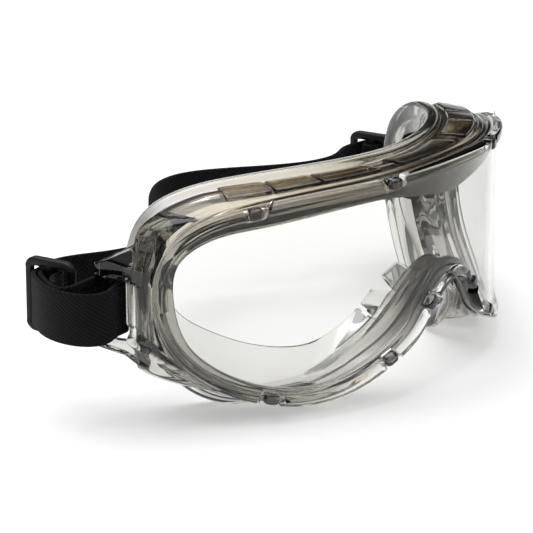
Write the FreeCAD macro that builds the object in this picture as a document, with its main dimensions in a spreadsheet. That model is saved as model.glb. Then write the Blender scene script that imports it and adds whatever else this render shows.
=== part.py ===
import FreeCAD, Part
import math
import os
import Sketcher

# Safety goggles: a clear wrap-round lens clipped on a soft frame, with vents, a face seal and an
# elastic head strap that runs through two lugs and two slide buckles.
# Millimetres.  +Z up, the lens looks along -Y, X runs across the face.  The origin is on the
# surface that the goggles stand on, in the middle of the object seen from above.

V = FreeCAD.Vector
doc = FreeCAD.newDocument("safety_goggles")

# --- driving dimensions ---------------------------------------------------------------------------
# Depths named "behind" are measured back from the foremost point of the lens face.
SIZES = {
    "lens_front": -54.7,        # Y of the foremost point of the lens face
    # lens and frame are wrapped round one upright axis behind the lens
    "lens_radius": 98.3,        # outer face of the lens
    "lens_thickness": 1.6,
    "bead_width": 3.3,          # rolled edge of the lens
    "bead_height": 1.5,
    "rim_front": 96.4,          # radius of the frame face that the lens sits on
    "rim_back": 93.8,
    "skirt_back": 80.8,         # radius where the frame wall meets the face seal
    "wall": 2.0,
    "seal_back": 76.0,          # radius of the face side of the seal
    "seal_lip": 2.6,            # how far the seal stands out past the frame wall
    "seal_sheet": 1.2,
    "seal_flat": 2.6,           # how far in the face side of the seal starts to curve in
    "slit_root": 0.5,           # width of the slits beside the nose, at their closed end
    "slit_mouth": 1.7,          # and at the edge of the flap, for the lower slit
    "slit_wide_mouth": 4.6,     # and for the upper slit
    "nose_cut": 11.4,           # width of the flap that is left out over the nose
    # lens clips
    "clip_width": 4.4,
    "clip_reach": 3.4,          # how far a clip comes in over the rolled edge
    "clip_thickness": 0.3,      # how far a clip stands proud of the rolled edge
    "clip_gap": 0.3,
    # vents in the roof and the floor of the frame
    "vent_front": 91.2,
    "vent_rear": 83.0,
    "cover_gap": 0.1,
    "cover_thickness": 1.1,
    "baffle_gap": 0.2,
    "baffle_thickness": 1.2,
    # strap lugs
    "mid_height": 33.5,         # mid height of the lug slots, the webbing and the buckles
    "bar_behind": 61.4,         # middle of the bar that the webbing goes round
    "bar_size": 3.2,
    "slot_front_behind": 53.8,
    "slot_height": 17.6,
    "lug_front_behind": 36.5,   # front end of the lug, on the frame wall
    "lug_bend_behind": 47.6,    # where its outer face turns along the head
    "lug_crest_behind": 50.0,
    "lug_root_out": 71.0,       # buried end of the lug, out from the middle
    "lug_front_out": 76.4,
    "lug_bend_out": 84.6,
    "lug_outer_front": 86.4,
    "lug_outer_rear": 88.8,
    "lug_plate": 4.2,
    "lug_top": 57.0,
    "lug_low": 8.5,
    "lug_crest_low": 17.6,
    "lug_rear_top": 46.0,
    "lug_rear_low": 22.4,
    # webbing
    "strap_width": 15.0,
    "strap_thickness": 1.3,
    "stitch_thickness": 0.45,
    "stitch_pitch": 0.9,
    "stitch_height": 11.0,
    # slide buckles
    "buckle_out": 86.6,         # middle of the plate, out from the middle of the goggles
    "buckle_behind": 79.0,      # middle of the centre bar
    "buckle_height": 21.6,
    "buckle_plate": 2.6,
    "buckle_rail": 2.3,
    "buckle_bar": 2.6,
    "buckle_rear_slot": 5.0,
    "buckle_front_slot": 4.7,
    "buckle_corner": 3.6,
    "buckle_opening": 16.6,
}

sheet = doc.addObject("Spreadsheet::Sheet", "Dims")
for row, (name, value) in enumerate(SIZES.items(), start=1):
    sheet.set("A%d" % row, name)
    sheet.set("B%d" % row, str(value))
    sheet.setAlias("B%d" % row, name)
doc.recompute()


def size(name):
    """The value that the spreadsheet holds under this name."""
    return float(sheet.get(name))


FRONT_Y = size("lens_front")
AXIS_Y = FRONT_Y + size("lens_radius")
MID_Z = size("mid_height")
TOUCH = 0.1                             # clearance between pieces that lie against each other
OVERRUN = 2.0                           # how far a cutting shape runs past what it cuts
WALL_INSET = 0.4                        # the frame wall starts this far inside the lens edge

# --- outlines -------------------------------------------------------------------------------------
# Each outline is half of a symmetric loop, from the top middle round to the top of the nose arch.
# A point is (angle round the wrap axis in degrees, height).  Points with one index belong together.
LENS_HALF = [
    (0.0, 66.3), (16.3, 65.4), (30.3, 64.4), (42.0, 62.2), (51.3, 57.6), (56.8, 49.0),
    (58.5, 36.5), (55.7, 21.5), (48.7, 11.2), (39.6, 5.4), (30.9, 4.0), (22.7, 6.6),
    (16.3, 11.0), (10.2, 17.0), (6.2, 24.4), (0.0, 30.4),
]
WINDOW_HALF = [
    (0.0, 57.4), (16.5, 59.0), (29.0, 58.0), (40.5, 55.6), (50.0, 52.0), (54.3, 45.8),
    (55.0, 36.0), (52.6, 23.0), (46.2, 14.2), (38.2, 9.2), (31.0, 8.2), (24.0, 10.4),
    (17.8, 14.6), (12.0, 20.4), (7.6, 28.6), (0.0, 35.8),
]
SEAL_HALF = [
    (0.0, 67.0), (17.0, 67.3), (31.0, 67.2), (43.0, 66.0), (54.5, 62.4), (62.5, 54.0),
    (65.0, 40.0), (62.5, 24.0), (56.5, 9.5), (46.5, 0.4), (32.5, -0.5), (24.2, 1.6),
    (18.2, 8.5), (11.8, 17.2), (7.2, 23.8), (0.0, 29.4),
]
FLAP_HALF = [
    (0.0, 56.4), (16.6, 56.7), (30.0, 56.7), (40.8, 55.7), (49.3, 53.6), (55.0, 49.0),
    (57.0, 39.0), (54.8, 28.2), (49.0, 22.2), (40.8, 17.4), (30.5, 14.3), (22.4, 15.0),
    (17.7, 18.2), (13.6, 23.0), (11.0, 30.1), (0.0, 37.6),
]
# How far the seal and the edge of its flap lie nearer the lens at each outline point, for the nose.
SEAL_FORWARD = (0.0,) * 11 + (1.2, 6.0, 10.2, 11.2, 11.5)
FLAP_FORWARD = (0.0,) * 11 + (0.2, 1.2, 3.0, 6.4, 9.8)
LEVEL = (0.0,) * 16
CLIP_POINTS = (1, 3, 9, 12, 14)         # outline points that carry a lens clip, on each side
LOW_SLIT = 13                           # outline points where the flap is slit into fingers
HIGH_SLIT = 14
NOSE_TOP = 15
COVER_SPANS = {"left": (-46.0, -14.5), "centre": (-11.5, 11.5), "right": (14.5, 46.0)}
BAFFLE_SPANS = {"left": (-44.0, -28.0), "right": (28.0, 44.0)}
VENT_EDGE = 2.0                         # degrees of cover beyond each end of the hole under it
VENT_MARGIN = 2.0                       # and beyond its front and its rear


def closed_loop(half):
    """Mirrors a half outline to the other side and returns the whole loop."""
    mirrored = [(-angle, height) for angle, height in half[-2:0:-1]]
    return half + mirrored


def between(first, second, share):
    """The outline that lies a share of the way from the first outline to the second."""
    return [
        (a[0] + (b[0] - a[0]) * share, a[1] + (b[1] - a[1]) * share)
        for a, b in zip(first, second)
    ]


def on_wrap(radius, arc, height):
    """The point an arc length round the wrap axis, at a radius and a height."""
    angle = arc / radius
    return V(radius * math.sin(angle), AXIS_Y - radius * math.cos(angle), height)


def whole_loop(values):
    """One value per outline point, mirrored to the whole loop."""
    return list(values) + list(values[-2:0:-1])


def unrolled(half, radius, forward=LEVEL, share=1.0):
    """The loop as (arc length, height) at a radius that may grow from point to point."""
    radii = [radius + share * rise for rise in whole_loop(forward)]
    return [
        (math.radians(angle) * around, height)
        for (angle, height), around in zip(closed_loop(half), radii)
    ]


def outward(points, index):
    """The unit direction that points out of the loop at one of its points, as (arc, height)."""
    before = points[index - 1]
    after = points[(index + 1) % len(points)]
    step = (after[0] - before[0], after[1] - before[1])
    length = math.hypot(*step)
    return (-step[1] / length, step[0] / length)


def wrap_curve(half, radius, offset, forward=LEVEL, share=1.0):
    """A closed curve on the wrap at a radius, offset in its surface: positive is out of the loop."""
    loop = unrolled(half, radius, forward, share)
    rises = whole_loop(forward)
    placed = []
    for index, (arc, height) in enumerate(loop):
        side = outward(loop, index)
        around = radius + share * rises[index]
        placed.append(on_wrap(around, arc + side[0] * offset, height + side[1] * offset))
    curve = Part.BSplineCurve()
    curve.interpolate(placed, PeriodicFlag=True)
    return curve.toShape()


def ring(section):
    """A closed ring whose corners run along the curves of section, each (half, radius, offset)."""
    edges = [wrap_curve(*corner) for corner in section]
    faces = [
        Part.makeRuledSurface(edges[index], edges[(index + 1) % len(edges)])
        for index in range(len(edges))
    ]
    shell = Part.makeShell(faces)
    shell.sewShape()
    solid = Part.makeSolid(shell)
    if solid.Volume < 0:
        solid.reverse()
    return solid


def feature(label, shape):
    """A document object that holds a shape made with Part's own functions."""
    item = doc.addObject("Part::Feature", label)
    item.Label = label
    item.Shape = shape
    return item


def local_placement(half, radius, index):
    """At an outline point: x along the outline, y out of the loop, z away from the wrap axis."""
    loop = unrolled(half, radius)
    arc, height = loop[index]
    side = outward(loop, index)
    angle = arc / radius
    along_arc = V(math.cos(angle), math.sin(angle), 0)
    away = V(math.sin(angle), -math.cos(angle), 0)
    out = along_arc * side[0] + V(0, 0, 1) * side[1]
    return FreeCAD.Placement(on_wrap(radius, arc, height),
                             FreeCAD.Rotation(out.cross(away), out, away, "ZXY"))


def local_block(half, radius, index, width, low, high, depth):
    """A block at an outline point, from low to high out of the loop and depth away from the axis."""
    block = Part.makeBox(width, high - low, depth, V(-width / 2, low, 0))
    block.Placement = local_placement(half, radius, index)
    return block


def both_sides(indices):
    """The loop indices of outline points and of their mirror images."""
    count = 2 * len(LENS_HALF) - 2
    return [index for point in indices for index in (point, count - point)]


def wedge(span, low, high):
    """A sector round the wrap axis between two angles, from one height to another."""
    start, end = span
    sector = Part.makeCylinder(size("lens_radius") + 10, high - low, V(0, AXIS_Y, low),
                               V(0, 0, 1), end - start)
    sector.rotate(V(0, AXIS_Y, 0), V(0, 0, 1), start - 90)
    return sector


def frame_share(radius):
    """How far a radius is from the front of the frame wall to its back, from 0 to 1."""
    return (size("rim_back") - radius) / (size("rim_back") - size("skirt_back"))


def frame_corner(radius, offset):
    """A section corner at a distance outside the outer face of the frame wall."""
    share = frame_share(radius)
    inset = WALL_INSET + (size("seal_lip") - WALL_INSET) * share
    return (between(LENS_HALF, SEAL_HALF, share), radius, offset - inset, SEAL_FORWARD, share)


# --- lens -----------------------------------------------------------------------------------------
BEAD_OVERLAP = 0.3                      # the pane runs this far in under the rolled edge
BEAD_ROUND = 0.8                        # bevel along each side of the rolled edge
BEAD_STEP = 0.15                        # it stands this far proud where it meets the pane
LENS_DEPTH = 70.0                       # more than the depth of the wrap, front to back
BLANK_HEIGHT = 80.0                     # more than the height of the lens

lens_r = size("lens_radius")
lens_back = lens_r - size("lens_thickness")
bead_top = lens_r + size("bead_height")
bead_width = size("bead_width")

shell_outer = doc.addObject("Part::Cylinder", "lens_outer_cylinder")
shell_inner = doc.addObject("Part::Cylinder", "lens_inner_cylinder")
shell_outer.setExpression("Radius", "Dims.lens_radius")
shell_inner.setExpression("Radius", "Dims.lens_radius - Dims.lens_thickness")
for cylinder in (shell_outer, shell_inner):
    cylinder.Height = BLANK_HEIGHT
    cylinder.setExpression("Placement.Base.y", "Dims.lens_front + Dims.lens_radius")
lens_shell = doc.addObject("Part::Cut", "lens_cylinder_wall")
lens_shell.Base = shell_outer
lens_shell.Tool = shell_inner

# the outline of the pane, seen from the front, runs just under the rolled edge
pane_inset = bead_width - BEAD_OVERLAP
lens_loop = unrolled(LENS_HALF, lens_r)
blank_points = []
for index, (arc, height) in enumerate(lens_loop):
    side = outward(lens_loop, index)
    spot = on_wrap(lens_r, arc - side[0] * pane_inset, height - side[1] * pane_inset)
    blank_points.append(V(spot.x, FRONT_Y - OVERRUN, spot.z))
blank_curve = Part.BSplineCurve()
blank_curve.interpolate(blank_points, PeriodicFlag=True)
blank_face = Part.Face(Part.Wire([blank_curve.toShape()]))
lens_blank = feature("lens_blank", blank_face.extrude(V(0, LENS_DEPTH, 0)))
lens_pane = doc.addObject("Part::Common", "lens_pane")
lens_pane.Base = lens_shell
lens_pane.Tool = lens_blank
doc.recompute()

bead = ring([
    (LENS_HALF, lens_back - BEAD_STEP, 0.0),
    (LENS_HALF, bead_top - BEAD_ROUND, 0.0),
    (LENS_HALF, bead_top, -BEAD_ROUND),
    (LENS_HALF, bead_top, BEAD_ROUND - bead_width),
    (LENS_HALF, lens_r + BEAD_STEP, -bead_width),
    (LENS_HALF, lens_back - BEAD_STEP, -bead_width),
])
notches = [
    local_block(LENS_HALF, lens_back - OVERRUN, index, size("clip_width") + 2 * size("clip_gap"),
                -size("clip_reach") - size("clip_gap"), OVERRUN, bead_top - lens_back + 2 * OVERRUN)
    for index in both_sides(CLIP_POINTS)
]
lens = feature("lens", lens_pane.Shape.fuse(bead).cut(notches).removeSplitter())

# --- frame ----------------------------------------------------------------------------------------
rim_front = size("rim_front")
rim_back = size("rim_back")
skirt_back = size("skirt_back")
wall = size("wall")
lip = size("seal_lip")

frame_rim = feature("frame_rim", ring([
    (LENS_HALF, rim_front, 0.0),
    (WINDOW_HALF, rim_front, 0.0),
    (WINDOW_HALF, rim_back, 0.0),
    (LENS_HALF, rim_back, 0.0),
]))
skirt = ring([
    (LENS_HALF, rim_back, -WALL_INSET),
    (LENS_HALF, rim_back, -WALL_INSET - wall),
    (SEAL_HALF, skirt_back, -lip - wall, SEAL_FORWARD),
    (SEAL_HALF, skirt_back, -lip, SEAL_FORWARD),
])


def vent_hole(span, low, high):
    """The opening through the frame wall under a vent cover or over a baffle."""
    start, end = span
    through = ring([
        frame_corner(size("vent_front") - VENT_MARGIN, OVERRUN),
        frame_corner(size("vent_rear") + VENT_MARGIN, OVERRUN),
        frame_corner(size("vent_rear") + VENT_MARGIN, -wall - OVERRUN),
        frame_corner(size("vent_front") - VENT_MARGIN, -wall - OVERRUN),
    ])
    return through.common(wedge((start + VENT_EDGE, end - VENT_EDGE), low, high))


ROOF = (52.0, 80.0)                     # heights that hold the roof of the frame
FLOOR = (-5.0, 16.0)                    # and its floor
holes = [vent_hole(span, *ROOF) for span in COVER_SPANS.values()]
holes += [vent_hole(span, *FLOOR) for span in BAFFLE_SPANS.values()]
frame_skirt = feature("frame_skirt", skirt.cut(holes))

seal_back = size("seal_back")
seal_sheet = size("seal_sheet")
seal_flat = size("seal_flat")
LIP_ROUND = 0.6                         # bevels round the lip
LIP_SHOULDER = 2.2
FACE_ROUND = 0.8
FLAP_RISE = 0.6                         # the flap's edge lies this far in front of the lip
FLAP_FRONT = 2.4                        # the flap's front face meets the wall this far behind it
seal = ring([
    (SEAL_HALF, skirt_back, -lip, SEAL_FORWARD),
    (SEAL_HALF, skirt_back - LIP_ROUND, -LIP_ROUND, SEAL_FORWARD),
    (SEAL_HALF, skirt_back - LIP_SHOULDER, 0.0, SEAL_FORWARD),
    (SEAL_HALF, seal_back + FACE_ROUND, -FACE_ROUND, SEAL_FORWARD),
    (SEAL_HALF, seal_back, -seal_flat, SEAL_FORWARD),
    (FLAP_HALF, seal_back + FLAP_RISE, 0.0, FLAP_FORWARD),
    (FLAP_HALF, seal_back + FLAP_RISE + seal_sheet, 0.0, FLAP_FORWARD),
    (SEAL_HALF, skirt_back - FLAP_FRONT, -lip - wall - LIP_ROUND, SEAL_FORWARD),
    (SEAL_HALF, skirt_back, -lip - wall, SEAL_FORWARD),
])


SLIT_DEPTH = 9.0                        # half of the depth that a slit cuts, front to back


def slit(index, mouth):
    """A wedge that opens from the wall of the frame to the edge of the flap."""
    rises = whole_loop(SEAL_FORWARD)
    around = skirt_back - FLAP_FRONT + rises[index]
    loop = unrolled(SEAL_HALF, skirt_back - FLAP_FRONT, SEAL_FORWARD)
    side = outward(loop, index)
    depth = lip + wall + FACE_ROUND + LIP_ROUND
    arc, height = loop[index]
    root = on_wrap(around, arc - side[0] * depth, height - side[1] * depth)
    edge_radius = seal_back + FLAP_RISE + whole_loop(FLAP_FORWARD)[index]
    edge_arc, edge_height = unrolled(FLAP_HALF, seal_back + FLAP_RISE, FLAP_FORWARD)[index]
    tip = on_wrap(edge_radius, edge_arc, edge_height)
    along = (tip - root).normalize()
    angle = arc / around
    outline_way = V(math.cos(angle), math.sin(angle), 0) * side[1] - V(0, 0, 1) * side[0]
    through = outline_way.cross(along).normalize()
    across = along.cross(through)
    end = tip + along * OVERRUN
    half_root = across * (size("slit_root") / 2)
    half_mouth = across * (mouth / 2)
    start = through * -SLIT_DEPTH
    corners = [root + half_root, end + half_mouth, end - half_mouth, root - half_root]
    outline = Part.makePolygon([corner + start for corner in corners + corners[:1]])
    return Part.Face(outline).extrude(through * (2 * SLIT_DEPTH))


slits = [slit(index, size("slit_mouth")) for index in both_sides([LOW_SLIT])]
slits += [slit(index, size("slit_wide_mouth")) for index in both_sides([HIGH_SLIT])]
nose_front = seal_back + SEAL_FORWARD[NOSE_TOP]
slits.append(local_block(
    SEAL_HALF, nose_front - SLIT_DEPTH, NOSE_TOP, size("nose_cut"),
    -SLIT_DEPTH - OVERRUN, -lip - wall - FACE_ROUND - LIP_ROUND, 2 * SLIT_DEPTH))
# the lowest part of the seal is flat, where the goggles stand
below_rest = Part.makeBox(2 * lens_r, lens_r, OVERRUN, V(-lens_r, FRONT_Y, -OVERRUN))
face_seal = feature("face_seal", seal.cut(slits + [below_rest]))

clip_height = bead_top + size("clip_thickness") - rim_front
clips = [
    local_block(LENS_HALF, rim_front, index, size("clip_width"),
                -size("clip_reach"), -TOUCH, clip_height)
    for index in both_sides(CLIP_POINTS)
]
lens_clips = feature("lens_clips", Part.makeCompound(clips))

# --- vents ----------------------------------------------------------------------------------------
cover_low = size("cover_gap")
cover_high = cover_low + size("cover_thickness")
cover_ring = ring([
    frame_corner(size("vent_front"), cover_low),
    frame_corner(size("vent_front"), cover_high),
    frame_corner(size("vent_rear"), cover_high),
    frame_corner(size("vent_rear"), cover_low),
])
baffle_high = -wall - size("baffle_gap")
baffle_low = baffle_high - size("baffle_thickness")
baffle_ring = ring([
    frame_corner(size("vent_front"), baffle_high),
    frame_corner(size("vent_rear"), baffle_high),
    frame_corner(size("vent_rear"), baffle_low),
    frame_corner(size("vent_front"), baffle_low),
])
vent_nodes = []
for place, span in COVER_SPANS.items():
    vent_nodes.append(feature("vent_cover_" + place, cover_ring.common(wedge(span, *ROOF))))
for place, span in BAFFLE_SPANS.items():
    vent_nodes.append(feature("vent_baffle_" + place, baffle_ring.common(wedge(span, *FLOOR))))


# --- sketches and bodies --------------------------------------------------------------------------
def worked_out(text):
    """The value of an expression on the spreadsheet."""
    return float(sheet.evalExpression(text))


def origin_plane(body, role):
    return next(item for item in body.Origin.OriginFeatures if item.Role == role)


def add_polygon(sketch, corners):
    """Adds a closed polygon; each corner is a pair of expressions that fix its two coordinates."""
    values = [tuple(worked_out(part) for part in corner) for corner in corners]
    first = sketch.GeometryCount
    count = len(corners)
    for index in range(count):
        here = V(*values[index], 0)
        there = V(*values[(index + 1) % count], 0)
        sketch.addGeometry(Part.LineSegment(here, there))
    for index in range(count):
        follower = first + (index + 1) % count
        sketch.addConstraint(Sketcher.Constraint("Coincident", first + index, 2, follower, 1))
    for index, corner in enumerate(corners):
        for kind, text, value in zip(("DistanceX", "DistanceY"), corner, values[index]):
            item = sketch.addConstraint(Sketcher.Constraint(kind, first + index, 1, value))
            sketch.setExpression("Constraints[%d]" % item, text)


def plate_body(label, role, loops, thickness, away="0"):
    """A body padded from polygons on one of its planes, which starts a distance away from it."""
    body = doc.addObject("PartDesign::Body", label)
    body.Label = label
    sketch = body.newObject("Sketcher::SketchObject", label + "_sketch")
    sketch.AttachmentSupport = [(origin_plane(body, role), "")]
    sketch.MapMode = "FlatFace"
    sketch.setExpression("AttachmentOffset.Base.z", away)
    for corners in loops:
        add_polygon(sketch, corners)
    pad = body.newObject("PartDesign::Pad", label + "_pad")
    pad.Profile = sketch
    pad.setExpression("Length", thickness)
    body.Tip = pad
    return body


def mirrored(label, source):
    """The left-hand twin of a right-hand piece."""
    twin = doc.addObject("Part::Mirroring", label)
    twin.Label = label
    twin.Source = source
    twin.Normal = V(1, 0, 0)
    return twin


# --- strap lugs -----------------------------------------------------------------------------------
LUG_FRONT = "Dims.lens_front + Dims.lug_front_behind"
LUG_BEND = "Dims.lens_front + Dims.lug_bend_behind"
LUG_CREST = "Dims.lens_front + Dims.lug_crest_behind"
LUG_BLOCK_REAR = "Dims.lens_front + Dims.slot_front_behind - Dims.wall"
BAR_REAR = "Dims.lens_front + Dims.bar_behind + Dims.bar_size / 2"
BAR_FRONT = "Dims.lens_front + Dims.bar_behind - Dims.bar_size / 2"
SLOT_FRONT = "Dims.lens_front + Dims.slot_front_behind"
SLOT_TOP = "Dims.mid_height + Dims.slot_height / 2"
SLOT_LOW = "Dims.mid_height - Dims.slot_height / 2"

lug_side = plate_body("lug_side_profile", "YZ_Plane", [
    [
        (LUG_FRONT, "Dims.lug_top"), (BAR_REAR, "Dims.lug_rear_top"),
        (BAR_REAR, "Dims.lug_rear_low"), (LUG_CREST, "Dims.lug_crest_low"),
        (LUG_FRONT, "Dims.lug_low"),
    ],
    [
        (SLOT_FRONT, SLOT_LOW), (BAR_FRONT, SLOT_LOW), (BAR_FRONT, SLOT_TOP), (SLOT_FRONT, SLOT_TOP),
    ],
], "Dims.lug_outer_rear + Dims.wall")
lug_plan = plate_body("lug_plan_profile", "XY_Plane", [[
    ("Dims.lug_outer_rear", BAR_REAR), ("Dims.lug_outer_rear - Dims.lug_plate", BAR_REAR),
    ("Dims.lug_outer_front - Dims.lug_plate", LUG_BLOCK_REAR), ("Dims.lug_root_out", LUG_BLOCK_REAR),
    ("Dims.lug_front_out", LUG_FRONT), ("Dims.lug_bend_out", LUG_BEND),
    ("Dims.lug_outer_front", LUG_CREST),
]], "Dims.lug_top + Dims.wall")
lug_prism = doc.addObject("Part::Common", "lug_prism")
lug_prism.Base = lug_side
lug_prism.Tool = lug_plan
# everything that the lug grows out of, and the room inside it
INSIDE = 14.0
frame_envelope = feature("frame_envelope", ring([
    (LENS_HALF, bead_top + OVERRUN, TOUCH),
    (LENS_HALF, rim_back, TOUCH),
    (LENS_HALF, rim_back, TOUCH - WALL_INSET),
    (SEAL_HALF, skirt_back, TOUCH - lip, SEAL_FORWARD),
    (SEAL_HALF, skirt_back, TOUCH, SEAL_FORWARD),
    (SEAL_HALF, seal_back - OVERRUN, TOUCH, SEAL_FORWARD),
    (SEAL_HALF, seal_back - OVERRUN, -INSIDE, SEAL_FORWARD),
    (LENS_HALF, bead_top + OVERRUN, -INSIDE),
]))
right_lug = doc.addObject("Part::Cut", "right_lug")
right_lug.Base = lug_prism
right_lug.Tool = frame_envelope
left_lug = mirrored("left_lug", right_lug)

# --- slide buckles --------------------------------------------------------------------------------
BUCKLE_Y = "Dims.lens_front + Dims.buckle_behind"
BAR_HALF = "Dims.buckle_bar / 2"
REAR_SLOT_END = BUCKLE_Y + " + " + BAR_HALF + " + Dims.buckle_rear_slot"
FRONT_SLOT_END = BUCKLE_Y + " - " + BAR_HALF + " - Dims.buckle_front_slot"
REAR_END = REAR_SLOT_END + " + Dims.buckle_rail"
FRONT_END = FRONT_SLOT_END + " - Dims.buckle_rail"
BUCKLE_TOP = "Dims.mid_height + Dims.buckle_height / 2"
BUCKLE_LOW = "Dims.mid_height - Dims.buckle_height / 2"
OPENING_TOP = "Dims.mid_height + Dims.buckle_opening / 2"
OPENING_LOW = "Dims.mid_height - Dims.buckle_opening / 2"
CORNER = "Dims.buckle_corner"


def opening(front, rear):
    return [(front, OPENING_LOW), (rear, OPENING_LOW), (rear, OPENING_TOP), (front, OPENING_TOP)]


right_buckle = plate_body("right_buckle", "YZ_Plane", [
    [
        (FRONT_END, BUCKLE_LOW + " + " + CORNER), (FRONT_END + " + " + CORNER, BUCKLE_LOW),
        (REAR_END + " - " + CORNER, BUCKLE_LOW), (REAR_END, BUCKLE_LOW + " + " + CORNER),
        (REAR_END, BUCKLE_TOP + " - " + CORNER), (REAR_END + " - " + CORNER, BUCKLE_TOP),
        (FRONT_END + " + " + CORNER, BUCKLE_TOP), (FRONT_END, BUCKLE_TOP + " - " + CORNER),
    ],
    opening(BUCKLE_Y + " + " + BAR_HALF, REAR_SLOT_END),
    opening(FRONT_SLOT_END, BUCKLE_Y + " - " + BAR_HALF),
], "Dims.buckle_plate", "Dims.buckle_out - Dims.buckle_plate / 2")
left_buckle = mirrored("left_buckle", right_buckle)

# --- webbing --------------------------------------------------------------------------------------
# Each route runs along the middle of the webbing, seen from above: (out from the middle, behind).
# The loop starts at its sewn tail, turns round the centre bar of the buckle, runs to the lug,
# round the lug bar, and back outside to the rear slot of the buckle, where the back band takes over.
LOOP_ROUTE = [
    (95.0, 71.4), (93.2, 73.7), (90.8, 75.6), (88.2, 76.3), (85.6, 76.5),
    (84.1, 77.6), (83.8, 79.0), (84.1, 80.6), (85.6, 81.8), (87.8, 81.7),
    (90.2, 80.0), (92.8, 76.9), (95.8, 73.0), (97.6, 69.6), (97.6, 67.0),
    (95.4, 65.9), (91.0, 65.8), (86.0, 65.8), (82.4, 65.4),
    (80.6, 63.4), (80.2, 61.0), (80.7, 58.4), (82.4, 56.6),
    (85.0, 56.3), (88.2, 56.1), (91.6, 55.2),
    (95.2, 54.8), (98.4, 56.4), (100.3, 60.0), (100.6, 64.4), (99.6, 69.2),
    (97.3, 74.0), (94.2, 78.2), (91.2, 81.6), (88.8, 83.3), (86.6, 83.7),
]
BAND_ROUTE = [
    (-86.6, 83.7), (-83.6, 84.4), (-78.0, 85.2), (-72.0, 83.6), (-65.0, 79.4), (-57.0, 75.4),
    (-48.0, 74.8), (-39.0, 78.6), (-27.0, 87.0), (-13.0, 97.6), (0.0, 106.0), (11.0, 110.0),
    (21.0, 109.4), (30.0, 104.4), (40.0, 95.6), (50.0, 87.4), (60.0, 82.6), (69.0, 82.2),
    (77.5, 84.6), (83.6, 84.4), (86.6, 83.7),
]


def ribbon(route, thickness, low, height):
    """Webbing on edge along a route seen from above."""
    spots = [V(out, FRONT_Y + behind, low) for out, behind in route]
    middle = Part.BSplineCurve()
    middle.interpolate(spots)
    faces = []
    for share in (0.5, -0.5):
        moved = []
        for spot in spots:
            tangent = middle.tangent(middle.parameter(spot))[0]
            moved.append(spot + V(0, 0, 1).cross(tangent) * thickness * share)
        face_curve = Part.BSplineCurve()
        face_curve.interpolate(moved)
        faces.append(face_curve)
    near, far = faces
    outline = Part.Wire(Part.__sortEdges__([
        near.toShape(), far.toShape(),
        Part.makeLine(near.StartPoint, far.StartPoint), Part.makeLine(near.EndPoint, far.EndPoint),
    ]))
    return Part.Face(outline).extrude(V(0, 0, height))


strap_low = MID_Z - size("strap_width") / 2
webbing = size("strap_thickness")
right_strap_loop = feature("right_strap_loop",
                           ribbon(LOOP_ROUTE, webbing, strap_low, size("strap_width")))
left_strap_loop = mirrored("left_strap_loop", right_strap_loop)
back_band = feature("back_band", ribbon(BAND_ROUTE, webbing, strap_low, size("strap_width")))

# rows of thread through the sewn tail of each loop, on the face that looks at the lug
stitch = size("stitch_thickness")
tail_end, tail_next = [V(out, FRONT_Y + behind, 0) for out, behind in LOOP_ROUTE[:2]]
along_tail = (tail_next - tail_end).normalize()
off_tail = V(0, 0, 1).cross(along_tail) * ((webbing + stitch) / 2)
stitch_low = V(0, 0, MID_Z - size("stitch_height") / 2)
threads = []
for count in (1, 2, 3):
    foot = tail_end + along_tail * size("stitch_pitch") * count + off_tail + stitch_low
    threads.append(Part.makeCylinder(stitch / 2, size("stitch_height"), foot))
right_stitching = feature("right_stitching", Part.makeCompound(threads))
left_stitching = mirrored("left_stitching", right_stitching)

nodes = [lens, frame_rim, frame_skirt, face_seal, lens_clips, *vent_nodes, left_lug, right_lug,
         left_buckle, right_buckle, left_strap_loop, right_strap_loop, back_band,
         left_stitching, right_stitching]

# --- checks and export ----------------------------------------------------------------------------
doc.recompute()
for item in doc.Objects:
    if "Invalid" in item.State or "Error" in item.State:
        raise RuntimeError("%s did not build: %s" % (item.Label, item.State))
os.makedirs("parts", exist_ok=True)
for item in nodes:
    shape = item.Shape
    if shape.isNull() or not shape.isValid() or not shape.Solids:
        raise RuntimeError("%s has no valid solid" % item.Label)
    box = shape.optimalBoundingBox()
    print("%-22s solids %2d  volume %8.0f  x %7.2f %7.2f  y %7.2f %7.2f  z %6.2f %6.2f" % (
        item.Label, len(shape.Solids), shape.Volume,
        box.XMin, box.XMax, box.YMin, box.YMax, box.ZMin, box.ZMax))
    shape.exportStep("parts/%s.step" % item.Label)
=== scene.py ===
import math

import bmesh
import bpy
import numpy as np
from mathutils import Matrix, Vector


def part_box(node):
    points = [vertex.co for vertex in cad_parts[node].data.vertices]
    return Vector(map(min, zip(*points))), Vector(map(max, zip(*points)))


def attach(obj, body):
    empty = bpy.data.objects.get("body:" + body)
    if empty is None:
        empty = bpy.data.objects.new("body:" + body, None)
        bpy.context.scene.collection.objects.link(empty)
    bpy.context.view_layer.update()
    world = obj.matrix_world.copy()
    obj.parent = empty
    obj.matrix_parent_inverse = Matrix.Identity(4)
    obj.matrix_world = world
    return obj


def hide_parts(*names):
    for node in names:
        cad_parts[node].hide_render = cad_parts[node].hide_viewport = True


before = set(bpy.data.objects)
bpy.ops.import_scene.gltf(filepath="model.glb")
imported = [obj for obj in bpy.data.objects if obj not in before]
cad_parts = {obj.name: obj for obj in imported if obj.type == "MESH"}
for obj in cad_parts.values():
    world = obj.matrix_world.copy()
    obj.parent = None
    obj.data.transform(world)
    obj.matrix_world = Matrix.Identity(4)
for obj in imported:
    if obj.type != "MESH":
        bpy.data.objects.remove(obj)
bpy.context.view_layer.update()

# Safety goggles.  Lengths are millimetres in this script's own geometry and become metres when a
# mesh is made.  The lens looks along -Y and the wearer's head is at +Y.
MM = 0.001

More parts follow.
